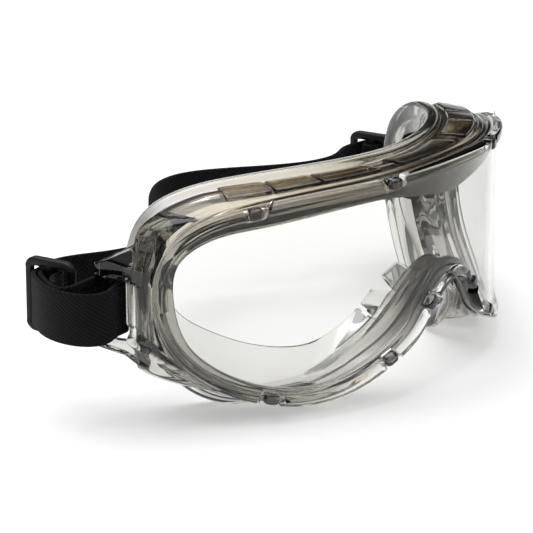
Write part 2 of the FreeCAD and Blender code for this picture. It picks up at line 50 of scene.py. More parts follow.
# --- driving dimensions ---------------------------------------------------------------------------
LENS_RADIUS = 98.3                      # radii round the upright axis, from the lens to the face
LENS_BACK = 96.7
RIM_FRONT = 96.4
RIM_BACK = 93.8
SKIRT_BACK = 80.8
SEAL_BACK = 76.0
BEAD_HEIGHT = 1.5                       # rolled edge of the lens, proud of its outer face
BEAD_WIDTH = 3.3
LENS_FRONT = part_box("lens")[0].y / MM + BEAD_HEIGHT
AXIS_Y = LENS_FRONT + LENS_RADIUS       # the axis that lens and frame are wrapped round
WALL = 2.0
WALL_INSET = 0.4                        # the wall's outer face inside the lens outline
SEAL_LIP = 2.6                          # and inside the seal outline
BULGE_AT = (0, 2.4, 3.6, 5.0, 6.4, 8.0, 15)     # outline points with the bulge of the wall there
BULGE = (0.5, 0.9, 2.9, 3.0, 1.8, 0.4, 0.0)
CLIP_WIDTH = 4.4
CLIP_REACH = 3.4
CLIP_GAP = 0.3
COVER_FRONT, COVER_REAR = 91.2, 83.2    # radii that the vent covers and baffles lie between
BROW_TIP, BROW_END, BROW_REACH = 55.6, 59.0, 28.2     # the V in the middle of the brow
MID_Z = 33.5
STRAP_WIDTH = 15.0
STRAP_THICKNESS = 1.3
QUARTER = 240                           # stations from the top middle to the side of the outline
STATIONS = 4 * QUARTER
STATION_STEP = 0.49                     # about the distance between stations on the lens

# Half outlines from the top middle round to the top of the nose arch: (degrees round the axis,
# height).  Points with one index belong together.
LENS_HALF = [
    (0.0, 66.3), (16.3, 65.4), (30.3, 64.4), (42.0, 62.2), (51.3, 57.6), (56.8, 49.0),
    (58.5, 36.5), (55.7, 21.5), (48.7, 11.2), (39.6, 5.4), (30.9, 4.0), (22.7, 6.6),
    (16.3, 11.0), (10.2, 17.0), (6.2, 24.4), (0.0, 30.4),
]
WINDOW_HALF = [
    (0.0, 57.4), (16.5, 59.0), (29.0, 58.0), (40.5, 55.6), (50.0, 52.0), (54.3, 45.8),
    (55.0, 36.0), (52.6, 23.0), (46.2, 14.2), (38.2, 9.2), (31.0, 8.2), (24.0, 10.4),
    (17.8, 14.6), (12.0, 20.4), (7.6, 28.6), (0.0, 35.8),
]
SEAL_HALF = [
    (0.0, 67.0), (17.0, 67.3), (31.0, 67.2), (43.0, 66.0), (54.5, 62.4), (62.5, 54.0),
    (65.0, 40.0), (62.5, 24.0), (56.5, 9.5), (46.5, 0.4), (32.5, -0.5), (24.2, 1.6),
    (18.2, 8.5), (11.8, 17.2), (7.2, 23.8), (0.0, 29.4),
]
FLAP_HALF = [
    (0.0, 56.4), (16.6, 56.7), (30.0, 56.7), (40.8, 55.7), (49.3, 53.6), (55.0, 49.0),
    (57.0, 39.0), (54.8, 28.2), (49.0, 22.2), (40.8, 17.4), (30.5, 14.3), (22.4, 15.0),
    (17.7, 18.2), (13.6, 23.0), (11.0, 30.1), (0.0, 37.6),
]
# how far the seal and the edge of its flap lie nearer the lens, for the nose
SEAL_FORWARD = (0.0,) * 11 + (1.2, 6.0, 10.2, 11.2, 11.5)
FLAP_FORWARD = (0.0,) * 11 + (0.2, 1.2, 3.0, 6.4, 9.8)
LEVEL = (0.0,) * 16
SIDE_POINT = 6                          # the outermost point of each half outline
CLIP_POINTS = (1, 3, 9, 12, 14)
SLIT_MOUTHS = {13: 1.7, 14: 4.6}        # width of the slits between fingers, at outline points
SLIT_ROOT = 0.25
NOSE_CUT, NOSE_CUT_SOFT = 14.52, 0.05   # outline point where the flap ends beside the nose
FLAP_STUB = 0.04                        # share of the flap that stays in a slit


# --- camera ---------------------------------------------------------------------------------------
def add_camera():
    """The camera, on a sphere round the middle of the goggles."""
    azimuth, elevation, distance = math.radians(-59.3), math.radians(16.4), 0.82
    focal_length, aim_left, aim_down = 189.1, 0.0329, 0.0032
    target = Vector((0, -0.0297, 0.0322))
    back = Vector((math.sin(azimuth) * math.cos(elevation),
                   -math.cos(azimuth) * math.cos(elevation), math.sin(elevation)))
    right = back.cross(Vector((0, 0, -1))).normalized()
    up = back.cross(right)
    data = bpy.data.cameras.new("camera")
    data.lens = focal_length
    camera = bpy.data.objects.new("camera", data)
    bpy.context.scene.collection.objects.link(camera)
    camera.location = target + back * distance
    aim = target - right * aim_left - up * aim_down
    camera.rotation_euler = (aim - camera.location).to_track_quat("-Z", "Y").to_euler()
    bpy.context.scene.camera = camera


add_camera()


# --- curves ---------------------------------------------------------------------------------------
def spline(points, closed):
    """A smooth curve through points, as a function of the point's index or any share of it."""
    points = np.array(points, float)
    count = len(points)
    gaps = np.linalg.norm(np.roll(points, -1, 0) - points, axis=1)
    matrix = np.zeros((count, count))
    target = np.zeros_like(points)
    for index in range(count):
        after = (index + 1) % count
        before = index - 1
        if closed or 0 < index < count - 1:
            matrix[index, before] += 1 / gaps[before]
            matrix[index, index] += 2 / gaps[before] + 2 / gaps[index]
            matrix[index, after] += 1 / gaps[index]
            target[index] = 3 * ((points[index] - points[before]) / gaps[before] ** 2
                                 + (points[after] - points[index]) / gaps[index] ** 2)
    if not closed:
        matrix[0, :2] = 2, 1
        matrix[-1, -2:] = 1, 2
        target[0] = 3 * (points[1] - points[0]) / gaps[0]
        target[-1] = 3 * (points[-1] - points[-2]) / gaps[-2]
    slopes = np.linalg.solve(matrix, target)

    def at(place):
        place = np.asarray(place, float)
        index = np.minimum(np.floor(place).astype(int), count - (1 if closed else 2))
        share = (place - index)[:, None]
        after = (index + 1) % count
        gap = gaps[index][:, None]
        rest = 1 - share
        return ((1 + 2 * share) * rest ** 2 * points[index]
                + share * rest ** 2 * gap * slopes[index]
                + share ** 2 * (3 - 2 * share) * points[after]
                - share ** 2 * rest * gap * slopes[after])
    return at


def run_along(points):
    """The distance run along a line of points at each of them."""
    return np.concatenate([[0], np.cumsum(np.linalg.norm(np.diff(points, axis=0), axis=1))])


def evenly(curve, start, end, count, fineness=2000):
    """Places from start to end along a curve, count steps of one length, without the last."""
    fine = np.linspace(start, end, fineness)
    run = run_along(curve(fine))
    return np.interp(np.arange(count) / count * run[-1], run, fine)


def closed_loop(half, forward=LEVEL):
    """A half outline and its mirror image: arc length on the lens, height and extra radius."""
    whole = half + [(-angle, height) for angle, height in half[-2:0:-1]]
    rises = list(forward) + list(forward[-2:0:-1])
    return [(math.radians(angle) * LENS_RADIUS, height, rise)
            for (angle, height), rise in zip(whole, rises)]


def sharpen_brow(line):
    """Lowers the middle of the brow onto two straight lines that meet in a V."""
    share = np.abs(line[:, 0]) / BROW_REACH
    share[QUARTER:-QUARTER] = 1.0
    straight = BROW_TIP + (BROW_END - BROW_TIP) * share
    line[:, 1] = np.where(share < 1, np.minimum(line[:, 1], straight), line[:, 1])
    return line


lens_curve = spline(closed_loop(LENS_HALF), True)
half_count = len(LENS_HALF) - 1
first = evenly(lens_curve, 0, SIDE_POINT, QUARTER)
second = evenly(lens_curve, SIDE_POINT, half_count, QUARTER)
half_places = np.concatenate([first, second])
places = np.concatenate([half_places, [half_count], 2 * half_count - half_places[:0:-1]])
LENS_LINE = lens_curve(places)
WINDOW_LINE = sharpen_brow(spline(closed_loop(WINDOW_HALF), True)(places))
SEAL_LINE = spline(closed_loop(SEAL_HALF, SEAL_FORWARD), True)(places)
FLAP_LINE = spline(closed_loop(FLAP_HALF, FLAP_FORWARD), True)(places)
OUTLINE_PLACE = half_count - np.abs(half_count - places)    # outline point, the same on both sides


def column(values):
    """A number, or one number per station, as a column."""
    return np.broadcast_to(np.asarray(values, float), (STATIONS,))


def rail(line, radius, offset=0.0):
    """The line carried to a radius round the axis and moved out of the loop by an offset."""
    radius, offset = column(radius) + line[:, 2], column(offset)
    flat = np.stack([line[:, 0] * radius / LENS_RADIUS, line[:, 1]], 1)
    step = np.roll(flat, -1, 0) - np.roll(flat, 1, 0)
    step /= np.linalg.norm(step, axis=1)[:, None]
    arc = flat[:, 0] - step[:, 1] * offset
    height = flat[:, 1] + step[:, 0] * offset
    angle = arc / radius
    return np.stack([radius * np.sin(angle), AXIS_Y - radius * np.cos(angle), height], 1)


def wall_rail(radius, offset):
    """A rail at a distance outside the outer face of the frame wall."""
    share = (RIM_BACK - radius) / (RIM_BACK - SKIRT_BACK)
    inset = WALL_INSET + (SEAL_LIP - WALL_INSET) * share
    line = LENS_LINE + (SEAL_LINE - LENS_LINE) * share
    swell = np.interp(OUTLINE_PLACE, BULGE_AT, BULGE) * math.sin(math.pi * min(max(share, 0), 1))
    return rail(line, radius, offset - inset + swell)


def rounded(rails, radii, closed=True, steps=3, most=0.48):
    """The rails of a section with each corner rounded by its own radius.

    A rounding takes at most a share of each edge, which most gives.
    """
    made = []
    count = len(rails)
    for index, (corner, radius) in enumerate(zip(rails, radii)):
        inner = closed or 0 < index < count - 1
        if not inner or radius == 0:
            made.append(corner)
            continue
        ends = []
        for other in (rails[index - 1], rails[(index + 1) % count]):
            along = other - corner
            length = np.maximum(np.linalg.norm(along, axis=1)[:, None], 1e-6)
            ends.append(corner + along / length * np.minimum(radius, most * length))
        for step in range(steps + 1):
            share = step / steps
            made.append(ends[0] * (1 - share) ** 2 + corner * 2 * share * (1 - share)
                        + ends[1] * share ** 2)
    return made


def distance_from(points, line):
    """Each station's distance along a closed line from the nearest of some outline points."""
    run = run_along(line)
    whole = run[-1] + np.linalg.norm(line[0] - line[-1])
    nearest = np.full(STATIONS, whole)
    for point in points:
        for place in (point, 2 * half_count - point):
            apart = np.abs(run - np.interp(place, places, run))
            nearest = np.minimum(nearest, np.minimum(apart, whole - apart))
    return nearest


def ramp(values, start, end):
    """0 before start, 1 after end and smooth between them."""
    share = np.clip((values - start) / (end - start), 0, 1)
    return share * share * (3 - 2 * share)


# --- meshes ---------------------------------------------------------------------------------------
def make_mesh(name, corners, faces, material, smooth=True):
    """A mesh object from corners in millimetres."""
    mesh = bpy.data.meshes.new(name)
    mesh.from_pydata([tuple(corner) for corner in np.asarray(corners) * MM], [], faces)
    body = bmesh.new()
    body.from_mesh(mesh)
    bmesh.ops.recalc_face_normals(body, faces=body.faces)
    body.to_mesh(mesh)
    body.free()
    for polygon in mesh.polygons:
        polygon.use_smooth = smooth
    piece = bpy.data.objects.new(name, mesh)
    bpy.context.scene.collection.objects.link(piece)
    mesh.materials.append(material)
    return piece


def grid_faces(rows, columns, wrap_rows, wrap_columns, start=0):
    """Quads between neighbours in a grid of vertices stored row by row."""
    faces = []
    for row in range(rows if wrap_rows else rows - 1):
        below = (row + 1) % rows
        for place in range(columns if wrap_columns else columns - 1):
            beside = (place + 1) % columns
            faces.append((start + row * columns + place, start + row * columns + beside,
                          start + below * columns + beside, start + below * columns + place))
    return faces


def tube(name, rails, material):
    """A closed solid between rails that each run all the way round the loop."""
    return make_mesh(name, np.concatenate(rails), grid_faces(len(rails), STATIONS, True, True),
                     material)


def add_vertex_colours(piece, colours):
    """A colour at every vertex, which the material reads."""
    layer = piece.data.color_attributes.new("base_colour", "FLOAT_COLOR", "POINT")
    values = np.ones((len(piece.data.vertices), 4))
    values[:, :3] = colours
    layer.data.foreach_set("color", values.ravel())


def place_piece(piece, body, slot, *nodes):
    """Rides a finished piece on its body, in place of CAD nodes."""
    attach(piece, body)
    if nodes:
        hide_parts(*nodes)
    return piece


# --- materials ------------------------------------------------------------------------------------
def new_material(name):
    """A material, its node tree and its shader."""
    material = bpy.data.materials.new(name)
    material.use_nodes = True
    return material, material.node_tree, material.node_tree.nodes["Principled BSDF"]


def add_noise(tree, scale, detail=2.0):
    """A noise texture fixed to the object's own metres."""
    coords = tree.nodes.new("ShaderNodeTexCoord")
    noise = tree.nodes.new("ShaderNodeTexNoise")
    noise.inputs["Scale"].default_value = scale
    noise.inputs["Detail"].default_value = detail
    tree.links.new(coords.outputs["Object"], noise.inputs["Vector"])
    return noise.outputs["Fac"]


def map_range(tree, value, low, high):
    """A value from 0 to 1 carried to the range from low to high."""
    node = tree.nodes.new("ShaderNodeMapRange")
    node.inputs["To Min"].default_value = low
    node.inputs["To Max"].default_value = high
    tree.links.new(value, node.inputs["Value"])
    return node.outputs["Result"]


def add_bump(tree, shader, height, strength, distance):
    """Fine relief from a height value."""
    bump = tree.nodes.new("ShaderNodeBump")
    bump.inputs["Strength"].default_value = strength
    bump.inputs["Distance"].default_value = distance
    tree.links.new(height, bump.inputs["Height"])
    tree.links.new(bump.outputs["Normal"], shader.inputs["Normal"])


def clear_plastic(name, base_colour, ior, roughness, ripple, absorb=None, density=0.0):
    """See-through plastic with a slightly uneven moulded surface.

    roughness is a range, ripple the height of the waves in millimetres, and absorb and density
    the colour and strength of the body's own absorption.
    """
    material, tree, shader = new_material(name)
    shader.inputs["Base Color"].default_value = (*base_colour, 1)
    shader.inputs["Transmission Weight"].default_value = 1.0
    shader.inputs["IOR"].default_value = ior
    uneven = add_noise(tree, 180.0)
    tree.links.new(map_range(tree, uneven, roughness[0], roughness[1]), shader.inputs["Roughness"])
    if ripple:
        add_bump(tree, shader, add_noise(tree, 90.0), 0.25, ripple * MM)
    if absorb:
        volume = tree.nodes.new("ShaderNodeVolumeAbsorption")
        volume.inputs["Color"].default_value = (*absorb, 1)
        volume.inputs["Density"].default_value = density
        output = tree.nodes["Material Output"]
        tree.links.new(volume.outputs["Volume"], output.inputs["Volume"])
    return material


def make_webbing_material():
    """Black elastic webbing: a fine twill along the strap, from its own length and width."""
    material, tree, shader = new_material("webbing")
    shader.inputs["Roughness"].default_value = 0.8
    shader.inputs["Specular IOR Level"].default_value = 0.16
    shader.inputs["Sheen Weight"].default_value = 0.02
    shader.inputs["Sheen Roughness"].default_value = 0.4
    layout = tree.nodes.new("ShaderNodeUVMap")
    turn = tree.nodes.new("ShaderNodeMapping")
    turn.inputs["Rotation"].default_value = (0, 0, math.radians(55))
    tree.links.new(layout.outputs["UV"], turn.inputs["Vector"])
    ribs = tree.nodes.new("ShaderNodeTexWave")
    ribs.inputs["Scale"].default_value = 0.32
    ribs.inputs["Distortion"].default_value = 0.6
    ribs.inputs["Detail"].default_value = 1.0
    tree.links.new(turn.outputs["Vector"], ribs.inputs["Vector"])
    colour = tree.nodes.new("ShaderNodeValToRGB")
    colour.color_ramp.elements[0].color = (0.0010, 0.0010, 0.0012, 1)
    colour.color_ramp.elements[1].color = (0.0055, 0.0055, 0.006, 1)
    tree.links.new(ribs.outputs["Fac"], colour.inputs["Fac"])
    tree.links.new(colour.outputs["Color"], shader.inputs["Base Color"])
    add_bump(tree, shader, ribs.outputs["Fac"], 0.8, 0.25 * MM)
    return material


def make_black_plastic():
    """The buckles' fine-grained black plastic."""
    material, tree, shader = new_material("buckle_plastic")
    shader.inputs["Base Color"].default_value = (0.003, 0.003, 0.0035, 1)
    shader.inputs["Specular IOR Level"].default_value = 0.3
    grain = add_noise(tree, 2500.0, 3.0)
    tree.links.new(map_range(tree, grain, 0.38, 0.6), shader.inputs["Roughness"])
    add_bump(tree, shader, grain, 0.25, 0.06 * MM)
    return material


def make_thread_material():
    """Black thread with fine strands."""
    material, tree, shader = new_material("thread")
    shader.inputs["Roughness"].default_value = 0.6
    strands = add_noise(tree, 4000.0, 1.0)
    colour = tree.nodes.new("ShaderNodeValToRGB")
    colour.color_ramp.elements[0].color = (0.006, 0.006, 0.007, 1)
    colour.color_ramp.elements[1].color = (0.03, 0.03, 0.033, 1)
    tree.links.new(strands, colour.inputs["Fac"])
    tree.links.new(colour.outputs["Color"], shader.inputs["Base Color"])
    return material


def make_tinted():
    """The frame's see-through PVC, whose colour comes from the mesh, painted shade and dark
    reflections included.
    """
    material = clear_plastic("smoke_pvc", (0.9, 0.9, 0.9), 1.5, (0.02, 0.07), 0.02,
                             (0.44, 0.415, 0.36), 50.0)
    tree = material.node_tree
    base_colour = tree.nodes.new("ShaderNodeAttribute")
    base_colour.attribute_name = "base_colour"
    tree.links.new(base_colour.outputs["Color"], tree.nodes["Principled BSDF"].inputs["Base Color"])
    return material


LENS_CLEAR = clear_plastic("lens_polycarbonate", (0.82, 0.825, 0.81), 1.2, (0.0, 0.015), 0)
SMOKE = make_tinted()
VENT_SMOKE = clear_plastic("vent_pvc", (0.66, 0.60, 0.49), 1.5, (0.03, 0.08), 0.02,
                           (0.44, 0.40, 0.33), 60.0)
DARK_SMOKE = clear_plastic("dark_smoke_pvc", (0.7, 0.7, 0.69), 1.5, (0.03, 0.08), 0.02,
                           (0.3, 0.29, 0.28), 420.0)
WEBBING = make_webbing_material()
BLACK_PLASTIC = make_black_plastic()
THREAD = make_thread_material()


# --- lens -----------------------------------------------------------------------------------------
def make_lens():
    """The pane and its rolled edge in one solid, with a notch in the edge at every clip."""
    soft = 0.7
    half_notch = CLIP_WIDTH / 2 + CLIP_GAP
    notch = 1 - ramp(distance_from(CLIP_POINTS, LENS_LINE), half_notch, half_notch + soft)
    deepest = CLIP_REACH + CLIP_GAP
    squeeze = 0.1                       # keeps the rails apart where they step in at a notch

    def edge_rail(inset, radius):
        """A rail of the rolled edge, which sinks to the pane and steps in at a notch."""
        flat_radius = min(radius, LENS_RADIUS)
        return rail(LENS_LINE, radius * (1 - notch) + flat_radius * notch,
                    -(inset * (1 - notch) + (deepest + inset * squeeze) * notch))

    bead_top = LENS_RADIUS + BEAD_HEIGHT
    pane_inset = BEAD_WIDTH + 1.0
    corners = [
        (pane_inset, LENS_RADIUS), (BEAD_WIDTH, LENS_RADIUS), (BEAD_WIDTH - 0.4, bead_top),
        (0.0, bead_top), (0.0, LENS_BACK), (pane_inset, LENS_BACK),
    ]
    rails = [edge_rail(inset, radius) for inset, radius in corners]
    rails = rounded(rails, [0, 0.35, 0.9, 0.9, 0.35, 0], closed=False)
    inner_line = flat_line(rails[0])
    vertices = [*rails]
    faces = grid_faces(len(rails), STATIONS, False, True)
    total = len(rails) * STATIONS
    rows = 16
    for radius, ring in ((LENS_RADIUS, 0), (LENS_BACK, (len(rails) - 1) * STATIONS)):
        ids = np.full((2 * QUARTER + 1, rows + 1), -1)
        extra = []
        for step in range(-QUARTER + 1, QUARTER):
            top = step % STATIONS
            low = (2 * QUARTER - step) % STATIONS
            ids[step + QUARTER, 0] = ring + top
            ids[step + QUARTER, rows] = ring + low
            for row in range(1, rows):
                arc, height = inner_line[top] + (inner_line[low] - inner_line[top]) * row / rows
                angle = arc / LENS_RADIUS
                extra.append((radius * math.sin(angle), AXIS_Y - radius * math.cos(angle), height))
                ids[step + QUARTER, row] = total + len(extra) - 1
        for left in range(1, 2 * QUARTER - 1):
            for row in range(rows):
                faces.append((ids[left, row], ids[left + 1, row],
                              ids[left + 1, row + 1], ids[left, row + 1]))
        for end, tip in ((1, ring + STATIONS - QUARTER), (2 * QUARTER - 1, ring + QUARTER)):
            for row in range(rows):
                faces.append((tip, ids[end, row], ids[end, row + 1]))
        vertices.append(np.array(extra))
        total += len(extra)
    faces = [tuple(int(corner) for corner in face) for face in faces]
    piece = make_mesh("clear_lens", np.concatenate(vertices), faces, LENS_CLEAR)
    return place_piece(piece, "goggles", "lens_clear", "lens")


def flat_line(points):
    """Points near the lens surface, unrolled onto it as (arc length, height)."""
    angle = np.arctan2(points[:, 0], AXIS_Y - points[:, 1])
    return np.stack([angle * LENS_RADIUS, points[:, 2]], 1)


# --- frame ----------------------------------------------------------------------------------------
def colours_at(table):
    """One colour per station, from colours at outline points."""
    points = [point for point, _ in table]
    return np.stack([np.interp(OUTLINE_PLACE, points, [colour[band] for _, colour in table])
                     for band in range(3)], 1)


# In the four tables below the colours fall to near black near the nose (outline points 13 to 15):
# painted shade and dark reflection on the nose arch.
WALL_COLOUR_AND_SHADE = colours_at([
    (0, (0.64, 0.57, 0.45)), (3, (0.66, 0.59, 0.47)), (4.5, (0.60, 0.56, 0.48)),
    (6, (0.55, 0.54, 0.50)), (8, (0.60, 0.59, 0.56)), (9, (0.76, 0.755, 0.72)),
    (10.5, (0.82, 0.82, 0.79)), (12, (0.70, 0.69, 0.65)), (13, (0.26, 0.25, 0.23)),
    (14, (0.05, 0.05, 0.05)), (15, (0.02, 0.02, 0.02)),
])
# the rim is darkest at the top middle, on the underside of the brow: painted shade
RIM_COLOUR_AND_SHADE = colours_at([
    (0, (0.22, 0.19, 0.145)), (2, (0.30, 0.26, 0.20)), (4, (0.42, 0.39, 0.33)),
    (5.5, (0.42, 0.41, 0.37)), (8, (0.50, 0.495, 0.46)), (9, (0.76, 0.755, 0.72)),
    (10.5, (0.82, 0.81, 0.77)), (12, (0.70, 0.69, 0.66)), (13, (0.36, 0.35, 0.33)),
    (14, (0.06, 0.06, 0.06)), (15, (0.02, 0.02, 0.02)),
])
# the dark stretch from outline point 4.9 to 5.8 is a painted dark reflection on the lip at its
# upper corner
LIP_COLOUR_AND_SHADE = colours_at([
    (0, (0.74, 0.69, 0.58)), (3, (0.80, 0.76, 0.68)), (4.3, (0.86, 0.85, 0.82)),
    (4.9, (0.36, 0.355, 0.34)), (5.8, (0.36, 0.355, 0.34)), (6.4, (0.90, 0.89, 0.87)),
    (8, (0.92, 0.91, 0.89)), (12, (0.94, 0.935, 0.92)), (13.4, (0.88, 0.87, 0.85)),
    (14.2, (0.12, 0.12, 0.12)), (15, (0.03, 0.03, 0.03)),
])
FLAP_COLOUR_AND_SHADE = colours_at([(0, (0.94, 0.93, 0.91)), (14.4, (0.95, 0.945, 0.93)),
                     (14.8, (0.20, 0.20, 0.20)), (15, (0.08, 0.08, 0.08))])


def make_frame():
    """The soft moulding: rim, wall, rounded lip and the flap that turns in behind the eyes."""
    flap_root = SEAL_LIP + WALL + 1.2
    share = np.clip((NOSE_CUT - OUTLINE_PLACE) / NOSE_CUT_SOFT, 0, 1)
    for point, mouth in SLIT_MOUTHS.items():
        apart = distance_from([point], FLAP_LINE)
        share = np.minimum(share, np.clip((apart - SLIT_ROOT) / (mouth / 2 - SLIT_ROOT), 0, 1))
    share = FLAP_STUB + (1 - FLAP_STUB) * share[:, None]
    back_root = rail(SEAL_LINE, SEAL_BACK + 0.3, -flap_root)
    front_root = rail(SEAL_LINE, SEAL_BACK + 2.0, -flap_root + 0.3)
    back_edge = back_root + (rail(FLAP_LINE, SEAL_BACK + 0.6) - back_root) * share
    front_edge = front_root + (rail(FLAP_LINE, SEAL_BACK + 1.8) - front_root) * share
    # the section from the edge of the window over the outside to the flap and back inside:
    # (rail, rounding, colour)
    corners = [
        (rail(WINDOW_LINE, RIM_FRONT), 0.5, RIM_COLOUR_AND_SHADE),
        (rail(LENS_LINE, RIM_FRONT, -0.2), 0.5, RIM_COLOUR_AND_SHADE),
        (rail(LENS_LINE, 95.2, -0.2), 0.3, WALL_COLOUR_AND_SHADE),
        (rail(LENS_LINE, 95.0, -1.2), 0.3, WALL_COLOUR_AND_SHADE),
        (wall_rail(94.3, -0.8), 0.2, WALL_COLOUR_AND_SHADE),
        (wall_rail(94.0, 0.35), 0.4, WALL_COLOUR_AND_SHADE),
        (wall_rail(92.6, 0.35), 0.4, WALL_COLOUR_AND_SHADE),
        (wall_rail(92.2, -0.3), 0.3, WALL_COLOUR_AND_SHADE),
        (wall_rail(91.2, -0.3), 0.3, WALL_COLOUR_AND_SHADE),
        (wall_rail(88.6, 0.0), 0.3, WALL_COLOUR_AND_SHADE),
        (wall_rail(85.6, 0.0), 0.3, WALL_COLOUR_AND_SHADE),
        (wall_rail(82.6, 0.0), 0.8, WALL_COLOUR_AND_SHADE),
        (rail(SEAL_LINE, SKIRT_BACK, -SEAL_LIP), 1.2, LIP_COLOUR_AND_SHADE),
        (rail(SEAL_LINE, SKIRT_BACK - 0.7, -0.2), 1.0, LIP_COLOUR_AND_SHADE),
        (rail(SEAL_LINE, SEAL_BACK + 0.9, 0.0), 1.6, LIP_COLOUR_AND_SHADE),
        (rail(SEAL_LINE, SEAL_BACK, -2.8), 1.6, LIP_COLOUR_AND_SHADE),
        (back_root, 0.6, FLAP_COLOUR_AND_SHADE),
        (back_edge, 0.35, FLAP_COLOUR_AND_SHADE),
        (front_edge, 0.35, FLAP_COLOUR_AND_SHADE),
        (front_root, 0.6, FLAP_COLOUR_AND_SHADE),
        (rail(SEAL_LINE, SKIRT_BACK, -SEAL_LIP - WALL), 1.0, WALL_COLOUR_AND_SHADE),
        (wall_rail(85.6, -WALL), 0.3, WALL_COLOUR_AND_SHADE),
        (wall_rail(89.6, -WALL), 0.3, WALL_COLOUR_AND_SHADE),
        (wall_rail(RIM_BACK, -WALL), 0.8, WALL_COLOUR_AND_SHADE),
        (rail(WINDOW_LINE, RIM_BACK), 0.5, RIM_COLOUR_AND_SHADE),
    ]
    radii = [radius for _, radius, _ in corners]
    rails = rounded([corner for corner, _, _ in corners], radii)
    colours_and_shade = rounded([np.array(base_colour) for _, _, base_colour in corners], radii)
    for line in rails:
        line[:, 2] = np.maximum(line[:, 2], 0.0)
    piece = tube("frame_moulding", rails, SMOKE)
    add_vertex_colours(piece, np.concatenate(colours_and_shade))
    return place_piece(piece, "goggles", "frame_smoke", "frame_rim", "frame_skirt", "face_seal")


# --- blocks set into the loop ---------------------------------------------------------------------
def station_of(angle, on_roof=True):
    """The station of the roof or the floor of the frame at an angle round the axis."""
    arc = math.radians(angle) * LENS_RADIUS
    lower, upper = (0, QUARTER) if on_roof else (QUARTER, 2 * QUARTER)
    if angle < 0:
        lower, upper = (3 * QUARTER, STATIONS) if on_roof else (2 * QUARTER, 3 * QUARTER)
    arcs = LENS_LINE[lower:upper, 0]
    return lower + int(np.argmin(np.abs(arcs - arc)))


def section_block(rails, start, end, inset):
    """Vertices and faces of a block between rails from station to station, with softened ends."""
    if end < start:
        end += STATIONS
    stations = np.arange(start, end + 1) % STATIONS
    section = np.stack([line[stations] for line in rails])
    middle = section.mean(0)
    rows = []
    soft_end = [0.72, 0.93]
    sizes = soft_end + [1.0] * (len(stations) - 2 * len(soft_end)) + soft_end[::-1]
    for index, share in enumerate(sizes):
        rows.append(middle[index] + (section[:, index] - middle[index]) * (1 - (1 - share) * inset))
    count = len(rails)
    vertices = np.concatenate(rows)
    faces = grid_faces(len(rows), count, False, True)
    faces.append(tuple(range(count)))
    faces.append(tuple(range(len(vertices) - 1, len(vertices) - 1 - count, -1)))
    return vertices, faces


def join(parts):
    """Several (vertices, faces) in one."""
    vertices, faces, total = [], [], 0
    for some, sides in parts:
        vertices.append(some)
        faces += [tuple(corner + total for corner in side) for side in sides]
        total += len(some)
    return np.concatenate(vertices), faces


# degrees round the axis where the covers begin, are divided and end
COVER_CUTS = {
    "left": (-46.0, -45.5, -37.0, -27.7, -14.5),
    "centre": (-9.7, 9.7),
    "right": (14.5, 27.7, 37.0, 45.5, 46.0),
}


def make_vent_cover(place, cuts, node):
    """The plates of one roof vent, a little proud of the wall."""
    proud, lean, sunken = 0.9, 0.2, -0.2
    rails = rounded([
        wall_rail(COVER_FRONT + lean, sunken), wall_rail(COVER_FRONT, proud),
        wall_rail(COVER_REAR, proud), wall_rail(COVER_REAR - lean, sunken),
    ], [0.2, 0.5, 0.5, 0.2])
    parts = []
    gap, least = 0.25, 1.0              # degrees left free at each end, and of a plate worth making
    for start, end in zip(cuts[:-1], cuts[1:]):
        if end - start > least:
            parts.append(section_block(rails, station_of(start + gap), station_of(end - gap), 0.4))
    piece = make_mesh(place + "_roof_vent", *join(parts), VENT_SMOKE)
    return place_piece(piece, "goggles", "vent_dark", node)


def make_baffle(side, sign, node):
    """The textured strip inside the floor of the frame."""
    front, near, far = COVER_FRONT - 0.2, -WALL - 0.1, -WALL - 1.1
    rails = rounded([wall_rail(front, near), wall_rail(COVER_REAR, near),
                     wall_rail(COVER_REAR, far), wall_rail(front, far)], [0.3] * 4)
    first_bar, last_bar, pitch, bar = 28.5, 43.5, 0.9, 0.55       # degrees round the axis
    parts = []
    for angle in np.arange(first_bar, last_bar, pitch):
        ends = sorted((sign * angle, sign * (angle + bar)))
        start, end = station_of(ends[0], False), station_of(ends[1], False)
        parts.append(section_block(rails, min(start, end), max(start, end) + 2, 0.4))
    piece = make_mesh(side + "_floor_vent", *join(parts), DARK_SMOKE)
    return place_piece(piece, "goggles", "vent_dark", node)


def make_clips():
    """Ten tabs that hook over the lens edge."""
    parts = []
    clip_top, clip_foot = LENS_RADIUS + BEAD_HEIGHT + 0.3, RIM_FRONT + 0.05
    rails = rounded([
        rail(LENS_LINE, clip_foot, -0.1), rail(LENS_LINE, clip_top, -0.3),
        rail(LENS_LINE, clip_top, -CLIP_REACH), rail(LENS_LINE, clip_foot, -CLIP_REACH),
    ], [0.3, 1.0, 0.9, 0.2], steps=4)
    reach = round(CLIP_WIDTH / 2 / STATION_STEP)
    for point in CLIP_POINTS:
        for place in (point, 2 * half_count - point):
            middle = int(np.argmin(np.abs(places - place)))
            parts.append(section_block(rails, (middle - reach) % STATIONS,
                                       (middle + reach) % STATIONS, 1.0))
    piece = make_mesh("lens_tabs", *join(parts), DARK_SMOKE)
    return place_piece(piece, "goggles", "clip_dark", "lens_clips")


make_lens()
make_frame()
for name, cuts in COVER_CUTS.items():
    make_vent_cover(name, cuts, "vent_cover_" + name)
make_baffle("left", -1, "vent_baffle_left")
make_baffle("right", 1, "vent_baffle_right")
make_clips()


